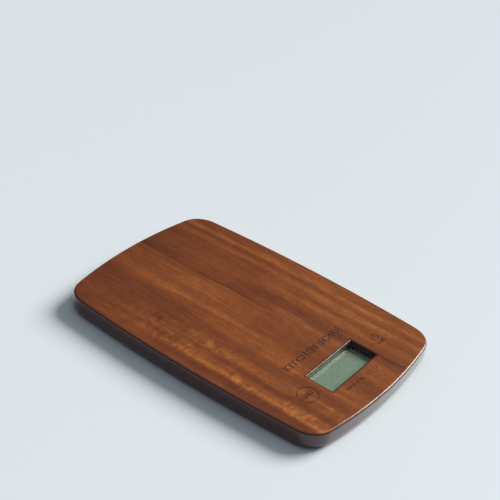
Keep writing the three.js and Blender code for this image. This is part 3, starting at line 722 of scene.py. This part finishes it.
# %% Material: circuit board
board, tree, shader, place = new_material("circuit board")
flat_place = stretched(tree, place, (1, 1, 0.02))
cells = put(tree, "ShaderNodeTexBrick", {"Vector": flat_place, "Scale": 0.16, "Mortar Size": 0.05})
cells.inputs["Color1"].default_value = (0, 0, 0, 1)
cells.inputs["Color2"].default_value = (0.4, 0.4, 0.4, 1)
cells.inputs["Mortar"].default_value = (1, 1, 1, 1)
tracks = put(tree, "ShaderNodeRGBToBW", {0: cells.outputs["Color"]}).outputs[0]
mask = blended(tree, tracks, (0.010, 0.075, 0.022, 1), (0.028, 0.170, 0.050, 1))
specks = smooth(tree, noise(tree, place, (1.5, 1.5, 1.5), detail=2), 0.3, 0.7, 0.92, 1.06)
mask = blended(tree, 1.0, mask, specks, "MULTIPLY")
feed(tree, shader, Base_Color=mask, Roughness=smooth(tree, tracks, 0.0, 1.0, 0.42, 0.30))
bump(tree, shader, tracks, 0.00002)
print("circuit board ready")

# %% [markdown]
# ## The slab's outline
# Seen from above, the slab has no straight edge: each end and each side is one shallow arc, and a tangent
# arc joins them at every corner. Such an outline could be drawn as a curve, but spinning one vertex about
# eight centres gives exact arcs and as many points as each arc needs. The corner's centre lies where two
# circles cross, one about the end's centre and one about the side's.

# %% Measure the outline
slab_low, slab_high = (Vector(corner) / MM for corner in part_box("wood_body"))
LENGTH, WIDTH = slab_high.y - slab_low.y, slab_high.x - slab_low.x
BOTTOM, TOP = slab_low.z, slab_high.z
END_BOW, SIDE_BOW, CORNER_R = 8.7, 5.6, 18.8


def bow_radius(chord, bow):
    return ((chord / 2) ** 2 + bow**2) / (2 * bow)


end_r, side_r = bow_radius(WIDTH, END_BOW), bow_radius(LENGTH, SIDE_BOW)
end_centre, side_centre = Vector((0, LENGTH / 2 - end_r)), Vector((WIDTH / 2 - side_r, 0))
between = side_centre - end_centre
span = between.length
ra, rb = end_r - CORNER_R, side_r - CORNER_R
along = (ra**2 - rb**2 + span**2) / (2 * span)
off = math.sqrt(ra**2 - along**2)
foot_point = end_centre + between.normalized() * along
sideways = Vector((-between.y, between.x)).normalized() * off
corner = max((foot_point + sideways, foot_point - sideways), key=lambda p: p.x + p.y)
end_turn = math.pi / 2 - math.atan2(corner.y - end_centre.y, corner.x - end_centre.x)
side_turn = math.atan2(corner.y - side_centre.y, corner.x - side_centre.x)
corner_turn = math.pi / 2 - end_turn - side_turn
print(f"slab {LENGTH:.1f} x {WIDTH:.1f} mm, corner centre {corner.x:.1f}, {corner.y:.1f}")


# %% Draw the outline by spinning one vertex
def outline_face(bm, inset, z, end_steps=20, corner_steps=14, side_steps=22):
    """Adds the slab's outline, moved inwards by inset, as one flat face."""
    end_c, side_c, tip = end_centre, side_centre, corner
    arcs = [
        ((0, -end_c.y), end_turn, end_steps), ((tip.x, -tip.y), corner_turn, corner_steps),
        ((side_c.x, 0), 2 * side_turn, 2 * side_steps), ((tip.x, tip.y), corner_turn, corner_steps),
        ((0, end_c.y), 2 * end_turn, 2 * end_steps), ((-tip.x, tip.y), corner_turn, corner_steps),
        ((-side_c.x, 0), 2 * side_turn, 2 * side_steps), ((-tip.x, -tip.y), corner_turn, corner_steps),
        ((0, -end_c.y), end_turn, end_steps),
    ]
    last = bm.verts.new((0, -LENGTH / 2 + inset, z))
    for (x, y), angle, steps in arcs:
        made = bmesh.ops.spin(bm, geom=[last], cent=(x, y, z), axis=(0, 0, 1), angle=angle, steps=steps)
        last = next(v for v in made["geom_last"] if isinstance(v, bmesh.types.BMVert))
    loose = [v for v in bm.verts if not v.link_faces and abs(v.co.z - z) < 1e-6]
    bmesh.ops.remove_doubles(bm, verts=loose, dist=0.05)
    edges = [e for e in bm.edges if not e.link_faces]
    return bmesh.ops.contextual_create(bm, geom=edges)["faces"][0]


bm = bmesh.new()
face = outline_face(bm, 0, BOTTOM)
print("outline points:", len(face.verts), "box x", round(min(v.co.x for v in bm.verts), 2), "to",
      round(max(v.co.x for v in bm.verts), 2))

# %% [markdown]
# ## The wooden slab
# The outline is raised to a block, its upper edge gets a small rounding and its lower edge a larger one,
# which lifts the slab off the table to the eye. Then the router's work is cut in the order a workshop would
# do it: the rebate for the base plate, the pockets, the channels for the leads, the bores, and last the
# window and the lettering. The window's cutter flares at its top, so that the rim comes out slightly
# rounded.

# %% Raise the block and round its edges
TOP_ROUND, BOTTOM_ROUND = 1.8, 3.0
raised(bm, face, TOP - BOTTOM)
soften(bm, TOP_ROUND, 8, where=lambda e: min(v.co.z for v in e.verts) > TOP - 0.01)
soften(bm, BOTTOM_ROUND, 8, where=lambda e: max(v.co.z for v in e.verts) < BOTTOM + 0.01)
slab = to_mesh(bm, "slab")
print("block:", len(slab.vertices), "points")

# %% Cut the rebate, pockets, channels and bores
CEILING, SEAT, CHANNEL_TOP, LOW = TOP - 4.9, 3.55, 7.9, 1.0
REBATE_INSET, LOAD_POCKET_R, CHANNEL_HALF = 4.8, 12.9, 2.8
DISPLAY_POCKET, BATTERY_POCKET = (95, 35.4, 4), (36, 40, 4)
FOOT_X, FOOT_Y = 56.5, 90.5
CHANNEL_X, BAY_Y = 34.0, -22.0
POST_X, POST_Y = 34.8, 11.6
TOUCH_X, TOUCH_R = 42.0, 6.5
COVER_SCREWS = [(sx * x, y) for x, y in ((66, 62), (66, 0), (64, -58)) for sx in (1, -1)]
COVER_SCREWS += [(0, 103), (0, -103)]
POSTS = [(sx * POST_X, WINDOW_Y + sy * POST_Y) for sy in (-1, 1) for sx in (-1, 1)]

bm = bmesh.new()
raised(bm, outline_face(bm, REBATE_INSET, LOW), SEAT - LOW)
slab = cut(slab, bm)

bm = bmesh.new()
rounded_prism(bm, *DISPLAY_POCKET, 0, WINDOW_Y, LOW, CEILING)
rounded_prism(bm, *BATTERY_POCKET, 0, BAY_Y, LOW, CEILING)
for sx in (-1, 1):
    for sy in (-1, 1):
        rod_in(bm, sx * FOOT_X, sy * FOOT_Y, LOAD_POCKET_R, LOW, CEILING, 64)
slab = cut(slab, bm, crossing=True)

bm = bmesh.new()
box_in(bm, (-5, -62, LOW), (5, -41, CHANNEL_TOP))
for sx in (-1, 1):
    left_x, right_x = sx * CHANNEL_X - CHANNEL_HALF, sx * CHANNEL_X + CHANNEL_HALF
    box_in(bm, (left_x, -63, LOW), (right_x, FOOT_Y + CHANNEL_HALF, CHANNEL_TOP))
    near_x, far_x = sorted((sx * (CHANNEL_X + 1), sx * FOOT_X))
    box_in(bm, (near_x, FOOT_Y - CHANNEL_HALF, LOW), (far_x, FOOT_Y + CHANNEL_HALF, CHANNEL_TOP))
slab = cut(slab, bm, crossing=True)

bm = bmesh.new()
for sx in (-1, 1):
    rod_in(bm, sx * TOUCH_X, WINDOW_Y, TOUCH_R, LOW, TOP - 2.2, 48)
for x, y in COVER_SCREWS:
    turned_in(bm, [(0, LOW), (3.65, LOW), (3.65, 5.05), (1.1, 5.05), (1.1, 9.5), (0, 9.5)], x, y, 24)
for x, y in POSTS:
    turned_in(bm, [(0, LOW), (1.1, LOW), (1.1, 12.2), (0, 12.2)], x, y, 16)
slab = cut(slab, bm)
print("routed slab:", len(slab.vertices), "points")

# %% Cut the window, with a rounded rim
RIM = 0.6
levels = [(0.0, LOW), (0.0, TOP - RIM)]
for step in range(1, 5):
    angle = math.radians(90 * step / 4)
    levels.append((RIM * (1 - math.cos(angle)), TOP - RIM * (1 - math.sin(angle))))
levels.append((RIM, TOP + 1))

bm = bmesh.new()
rings = []
for flare, z in levels:
    size = (WINDOW_W + 2 * flare, WINDOW_H + 2 * flare, 0.8 + flare)
    rings.append(rounded_face(bm, *size, 0, WINDOW_Y, z, 5))
loops = [list(face.edges) for face in rings]
bmesh.ops.delete(bm, geom=rings[1:-1], context="FACES_ONLY")
for lower, upper in zip(loops, loops[1:]):
    bmesh.ops.bridge_loops(bm, edges=lower + upper)
slab = cut(slab, bm)
print("window cut:", len(slab.vertices), "points")

# %% [markdown]
# ## Burnt lettering and touch marks
# A laser burns the marks a third of a millimetre deep. Lettering drawn in the shader would look printed on,
# so each mark is a real solid that is cut out of the top. The words only say what the object and its keys
# are. The faces that the cut leaves are then given the burnt finish by where they lie.

# %% Cut the lettering
BURN = 0.3
UNIT_X, UNIT_Y, RING_R = -42.5, -79.0, 7.8
POWER_X, POWER_Y, POWER_R = 43.0, -77.4, 3.35
STROKE = 0.6
z0, z1 = TOP - BURN, TOP + 0.5

bm = bmesh.new()
letters(bm, "KITCHEN SCALE", 66.0, 5.7, 0, -53.8, z0, z1, weight=0.028, spacing=1.16)
letters(bm, "MAX 5 kg   d = 1 g", 36.0, 3.1, -1.0, -95.7, z0, z1, spacing=1.1)
letters(bm, "UNIT", 10.4, 3.8, UNIT_X, UNIT_Y, z0, z1, weight=0.02, spacing=1.05)
letters(bm, "TARE", 8.6, 2.4, POWER_X, -83.4, z0, z1, weight=0.02, spacing=1.1)
slab = cut(slab, bm)

bm = bmesh.new()
ring_line = [(7.25, z0), (RING_R, z0), (RING_R, z1), (7.25, z1)]
turned_in(bm, ring_line, UNIT_X, UNIT_Y, 64, closed=True)
box_in(bm, (POWER_X - 0.35, POWER_Y, z0), (POWER_X + 0.35, POWER_Y + 4.0, z1))
gap = math.radians(32)
power_centre = Vector((POWER_X, POWER_Y, 0))
arm = [power_centre + Vector((math.sin(gap), math.cos(gap), 0)) * r for r in (POWER_R - STROKE, POWER_R)]
corners = (arm[0], z0), (arm[1], z0), (arm[1], z1), (arm[0], z1)
start = bm.faces.new([bm.verts.new((p.x, p.y, z)) for p, z in corners])
sweep = {"cent": power_centre, "axis": (0, 0, 1), "angle": -(math.tau - 2 * gap), "steps": 40}
bmesh.ops.spin(bm, geom=[start, *start.edges, *start.verts], **sweep)
slab = cut(slab, bm)
print("lettering cut:", len(slab.vertices), "points")

# %% Give each face of the slab its finish
LACQUER, BURNT, BARE, WALL = 0, 1, 2, 3
slab.materials.clear()
for face in slab.polygons:
    x, y, z = face.center
    in_window = abs(x) < WINDOW_W / 2 + RIM and abs(y - WINDOW_Y) < WINDOW_H / 2 + RIM
    near_middle = abs(x) < WIDTH / 2 - 12 and abs(y) < LENGTH / 2 - 12
    wall = in_window and CEILING < z < TOP - RIM + 0.01 and abs(face.normal.z) < 0.5
    inward = x * face.normal.x + y * face.normal.y < 0.5
    if wall:
        face.material_index = WALL
    elif near_middle and TOP - BURN - 0.01 < z < TOP - 0.001 and not in_window:
        face.material_index = BURNT
    elif (near_middle or inward) and not in_window and BOTTOM + 0.05 < z < TOP - BURN - 0.1:
        face.material_index = BARE
    else:
        face.material_index = LACQUER
wood_finishes = [lacquered, burnt, bare, window_wall]
finish_piece("slab", slab, "scale_body", wood_finishes, ["wood_body"], sharp=38)
print("slab faces:", len(slab.polygons))

# %% [markdown]
# ## The pane, the display and its unlit segments
# The pane is a plain plate with softened edges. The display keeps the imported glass, because a flat glass
# plate is just that. What a real one adds is the faint print of its unlit segments: seven bars for each
# digit and the unit signs beside them. They are modelled as very thin plates that lie between the glass and
# the pane.

# %% Clear pane
low, high = (Vector(corner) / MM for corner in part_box("window_lens"))
bm = bmesh.new()
box_in(bm, low, high)
soften(bm, 0.12, 3)
finish_piece("pane", to_mesh(bm, "pane"), "scale_body", [clear], ["window_lens"])
print("pane", [round(v, 2) for v in high - low], "mm")

# %% Unlit segments
glass_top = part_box("lcd_front_glass")[1][2] / MM
z0, z1 = glass_top + 0.01, glass_top + 0.02
DIGIT_W, DIGIT_H, BAR, SLANT = 6.2, 12.0, 1.15, 0.09
pitch = DIGIT_W + 2.8


def segment(bm, x, y, length, upright):
    """Adds one bar with pointed ends, lying or upright."""
    w, h = (BAR, length) if upright else (length, BAR)
    face = rounded_face(bm, w, h, BAR * 0.42, 0, 0, z0, 1)
    raised(bm, face, z1 - z0)
    grown = {v for corner in face.verts for e in corner.link_edges for v in e.verts}
    bmesh.ops.translate(bm, verts=list(grown), vec=(x, y, 0))


bm = bmesh.new()
for digit in range(5):
    middle = (digit - 2) * pitch - 2.4
    half = DIGIT_W / 2
    for row in (-1, 0, 1):
        segment(bm, middle, row * DIGIT_H / 2, DIGIT_W - BAR - 0.3, False)
    for side in (-1, 1):
        for row in (-1, 1):
            segment(bm, middle + side * half, row * DIGIT_H / 4, DIGIT_H / 2 - BAR - 0.3, True)
for sign, y in (("g", 5.2), ("ml", 1.8), ("oz", -1.8), ("lb", -5.2)):
    letters(bm, sign, 1.2 * len(sign) + 0.4, 1.8, 24.4, y, z0, z1)
lean = Matrix(((1, SLANT, 0, 0), (0, 1, 0, WINDOW_Y), (0, 0, 1, 0), (0, 0, 0, 1)))
bmesh.ops.transform(bm, matrix=lean, verts=bm.verts)
finish_piece("unlit_segments", to_mesh(bm, "unlit_segments"), "scale_body", [unlit])
print("segments: 35 bars and 4 signs")

# %% [markdown]
# ## The base plate
# The underside is closed by one moulded plate that lies in the slab's rebate. It carries a well for each
# screw, a round hole for each foot and the opening of the battery bay. The plate is the slab's outline
# moved inwards, and everything else is cut or joined. A shallow blank field shows where a maker would put
# its label, and each foot hole has a chamfered mouth, so that a foot that is pressed in can't catch on it.

# %% Shape the base plate
COVER_INSET, COVER_Z0, COVER_Z1 = 5.0, 2.2, 3.5
DOOR_X, DOOR_Y0, HINGE_Y, HINGE_Z = 11.2, -37.6, -7.6, 2.85
HINGE_R, PIN_R, FOOT_HOLE_R = 0.8, 0.45, 8.6
LABEL_FIELD, LABEL_Y = (62, 34, 2), 44


def bar_along_x(bm, x0, x1, y, z, radius, segments=32):
    place = Matrix.Translation(((x0 + x1) / 2, y, z)) @ Matrix.Rotation(math.pi / 2, 4, "Y")
    sizes = {"radius1": radius, "radius2": radius, "depth": x1 - x0}
    return bmesh.ops.create_cone(bm, cap_ends=True, segments=segments, matrix=place, **sizes)["verts"]


bm = bmesh.new()
raised(bm, outline_face(bm, COVER_INSET, COVER_Z0), COVER_Z1 - COVER_Z0)
soften(bm, 0.35, 3, where=lambda e: max(v.co.z for v in e.verts) < COVER_Z0 + 0.01)
plate = to_mesh(bm, "base_plate")

bm = bmesh.new()
for x, y in COVER_SCREWS:
    rod_in(bm, x, y, 3.4, COVER_Z0 + 0.1, 4.9)
for sx in (-1, 1):
    near_x, far_x = sorted((sx * (DOOR_X + 0.2), sx * (DOOR_X + 2.4)))
    box_in(bm, (near_x, HINGE_Y - 1.6, COVER_Z0 + 0.1), (far_x, HINGE_Y + 1.6, 4.4))
plate = cut(plate, bm, "UNION")

bm = bmesh.new()
opening_y0, opening_y1 = DOOR_Y0 - 0.3, HINGE_Y + 1
opening_size = (2 * DOOR_X + 0.4, opening_y1 - opening_y0, 0.6)
rounded_prism(bm, *opening_size, 0, (opening_y1 + opening_y0) / 2, 1, 6)
hole = [(0, 1), (FOOT_HOLE_R + 0.4, 1), (FOOT_HOLE_R + 0.4, COVER_Z0), (FOOT_HOLE_R, COVER_Z0 + 0.4)]
hole += [(FOOT_HOLE_R, 5), (0, 5)]
for sx in (-1, 1):
    for sy in (-1, 1):
        turned_in(bm, hole, sx * FOOT_X, sy * FOOT_Y, 64)
well = [(0, 1), (2.6, 1), (2.6, COVER_Z0), (2.3, COVER_Z0 + 0.3)]
well += [(2.3, 3.9), (1.2, 3.9), (1.2, 6), (0, 6)]
for x, y in COVER_SCREWS:
    turned_in(bm, well, x, y, 40)
rounded_prism(bm, *LABEL_FIELD, 0, LABEL_Y, 1, COVER_Z0 + 0.15)
plate = cut(plate, bm)

bm = bmesh.new()
bar_along_x(bm, -DOOR_X - 1.8, DOOR_X + 1.8, HINGE_Y, HINGE_Z, PIN_R + 0.06)
plate = cut(plate, bm)
finish_piece("base_plate", plate, "scale_body", [black_plastic], ["base_cover"])
print("base plate faces:", len(plate.polygons))

# %% Battery door with its barrel, lip, grip grooves and arrow
bm = bmesh.new()
box_in(bm, (-DOOR_X, DOOR_Y0, COVER_Z0), (DOOR_X, HINGE_Y, COVER_Z1))
soften(bm, 0.25, 3)
leaf = to_mesh(bm, "battery_door_leaf")
bm = bmesh.new()
bar_along_x(bm, -DOOR_X, DOOR_X, HINGE_Y, HINGE_Z, HINGE_R)
bar_along_x(bm, -DOOR_X - 1.5, DOOR_X + 1.5, HINGE_Y, HINGE_Z, PIN_R)
box_in(bm, (-3, DOOR_Y0 + 0.1, COVER_Z1 - 0.5), (3, DOOR_Y0 + 1.1, COVER_Z1 + 1.1))
leaf = cut(leaf, bm, "UNION", crossing=True)
bm = bmesh.new()
for row in range(5):
    y = DOOR_Y0 + 2.6 + row * 1.5
    rounded_prism(bm, 9.0, 0.7, 0.34, 0, y, 1, COVER_Z0 + 0.4, 4)
place = Matrix.Translation((0, -25.6, 1)) @ Matrix.Rotation(math.pi, 4, "Z")
arrow = bmesh.ops.create_circle(bm, cap_ends=True, segments=3, radius=2.4, matrix=place)
raised(bm, arrow["verts"][0].link_faces[0], COVER_Z0 + 0.3 - 1)
leaf = cut(leaf, bm)
finish_piece("battery_door_leaf", leaf, "battery_door", [black_plastic], ["battery_door"])
print("door faces:", len(leaf.polygons))

# %% [markdown]
# ## Feet, screws and the button cell
# These are all round things, so each is one line spun once. A foot is a plastic cup that slides in the
# plate's hole, with a rubber pad whose rings grip the table. A screw gets its cross recess by a cut with two
# crossed blades. One line or function serves all the pieces of a kind, each at its own place.

# %% Feet
PAD_R, CUP_R, CUP_FLOOR = 7.0, 8.0, 2.45
cup_line = [
    (0, CUP_FLOOR), (PAD_R + 0.2, CUP_FLOOR), (PAD_R + 0.2, 1.4), (PAD_R + 0.3, 1.3), (CUP_R - 0.15, 1.3),
    (CUP_R, 1.45), (CUP_R, 3.75), (9.2, 3.75), (9.3, 3.85), (9.3, 4.25), (9.2, 4.35), (3.0, 4.35), (2.6, 5.4),
    (2.45, 5.55), (0, 5.55),
]
pad_line = [
    (0, 0.15), (1.6, 0.15), (1.8, 0.0), (2.6, 0.0), (2.8, 0.25), (3.4, 0.25), (3.6, 0.0), (4.4, 0.0),
    (4.6, 0.25), (5.2, 0.25), (5.4, 0.0), (6.0, 0.0), (6.45, 0.2), (PAD_R, 0.9), (PAD_R, 2.4), (0, 2.4),
]
FOOT_PARTS = (
    ("foot_cup_", "foot_shell_cup_", cup_line, "black_plastic", black_plastic),
    ("foot_pad_", "foot_tread_pad_", pad_line, "grey_rubber", grey_rubber),
)
for foot in FEET:
    middle = (Vector(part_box("foot_cup_" + foot)[0]) + Vector(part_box("foot_cup_" + foot)[1])) / 2 / MM
    for node, shape, line, slot, finish in FOOT_PARTS:
        bm = bmesh.new()
        turned_in(bm, line, middle.x, middle.y, 72)
        name = shape + foot
        finish_piece(name, to_mesh(bm, name), "foot_" + foot, [finish], [node + foot])
print("feet:", len(FEET))


# %% Screws
def screw_mesh(name, x, y, head_z, head_r, head_h, tip_z):
    """A pan-head screw, head down, with a cross recess."""
    shank = 0.95
    line = [(0, head_z), (head_r * 0.55, head_z + head_h * 0.04), (head_r * 0.85, head_z + head_h * 0.22),
            (head_r, head_z + head_h * 0.55), (head_r, head_z + head_h), (shank, head_z + head_h)]
    z = head_z + head_h + 0.4
    while z < tip_z - 1.0:
        line += [(shank, z), (shank - 0.2, z + 0.25)]
        z += 0.5
    bm = bmesh.new()
    turned_in(bm, line + [(shank - 0.3, tip_z - 0.8), (0, tip_z)], 0, 0, 32)
    mesh = to_mesh(bm, name)
    bm = bmesh.new()
    for turn in (0, math.pi / 2):
        place = Matrix.Rotation(turn + 0.4, 4, "Z") @ Matrix.Translation((0, 0, head_z))
        blade = Matrix.Diagonal((head_r * 1.15, head_r * 0.24, head_h * 1.2, 1))
        bmesh.ops.create_cube(bm, size=1, matrix=place @ blade)
    mesh = cut(mesh, bm, crossing=True)
    mesh.transform(Matrix.Translation((x, y, 0)))
    return mesh


for count, (x, y) in enumerate(COVER_SCREWS, 1):
    mesh = screw_mesh(f"base_screw_{count}", x, y, 2.65, 2.1, 1.2, 9.0)
    finish_piece(mesh.name, mesh, "scale_body", [zinc], [f"cover_screw_{count}"])
for count, (x, y) in enumerate(POSTS, 1):
    mesh = screw_mesh(f"board_screw_{count}", x, y, 3.55, 1.9, 0.7, 12.0)
    finish_piece(mesh.name, mesh, "scale_body", [zinc], [f"pcb_screw_{count}"])
print("screws:", len(COVER_SCREWS), "and", len(POSTS))

# %% Button cell with a plus sign on its can
low, high = (Vector(corner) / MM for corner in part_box("coin_cell"))
z0, z1 = low.z, high.z
cell_line = [
    (0, z0), (9.3, z0), (9.75, z0 + 0.1), (10, z0 + 0.4), (10, z1 - 0.7), (9.85, z1 - 0.42),
    (9.3, z1 - 0.3), (8.7, z1 - 0.3), (8.55, z1 - 0.22), (8.4, z1 - 0.05), (8.2, z1), (0, z1),
]
bm = bmesh.new()
turned_in(bm, cell_line, 0, BAY_Y, 80)
cell = to_mesh(bm, "button_cell")
bm = bmesh.new()
box_in(bm, (-2.2, BAY_Y - 0.35, z0 - 1), (2.2, BAY_Y + 0.35, z0 + 0.08))
box_in(bm, (-0.35, BAY_Y - 2.2, z0 - 1), (0.35, BAY_Y + 2.2, z0 + 0.08))
cell = cut(cell, bm, crossing=True)
finish_piece("button_cell", cell, "scale_body", [nickel], ["coin_cell"])
print("button cell", round(high.x - low.x, 2), "mm across")

# %% [markdown]
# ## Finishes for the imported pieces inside
# The frame, the board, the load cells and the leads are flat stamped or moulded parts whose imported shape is
# right, so they keep it. Each only takes the finish that its real counterpart has.

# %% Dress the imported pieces
KEPT = {
    "lens_gasket": foam, "lcd_front_glass": display_glass, "lcd_rear_glass": display_glass,
    "zebra_strip": foam, "lcd_frame": white_plastic, "main_pcb": board, "chip_blob": potting,
    "touch_pad_unit": nickel, "touch_pad_tare": nickel, "battery_holder": black_plastic,
    "contact_negative": nickel, "contact_positive": nickel, "battery_lead_plus": red_lead,
    "battery_lead_minus": black_lead,
}
for foot in FEET:
    KEPT["load_cell_" + foot] = cell_steel
    KEPT["gauge_coating_" + foot] = silicone
    KEPT["cell_carrier_" + foot] = black_plastic
    KEPT["cell_lead_" + foot] = grey_lead
for node, finish in KEPT.items():
    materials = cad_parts[node].data.materials
    materials.clear()
    materials.append(finish)
print("packed pieces dressed:", len(KEPT))
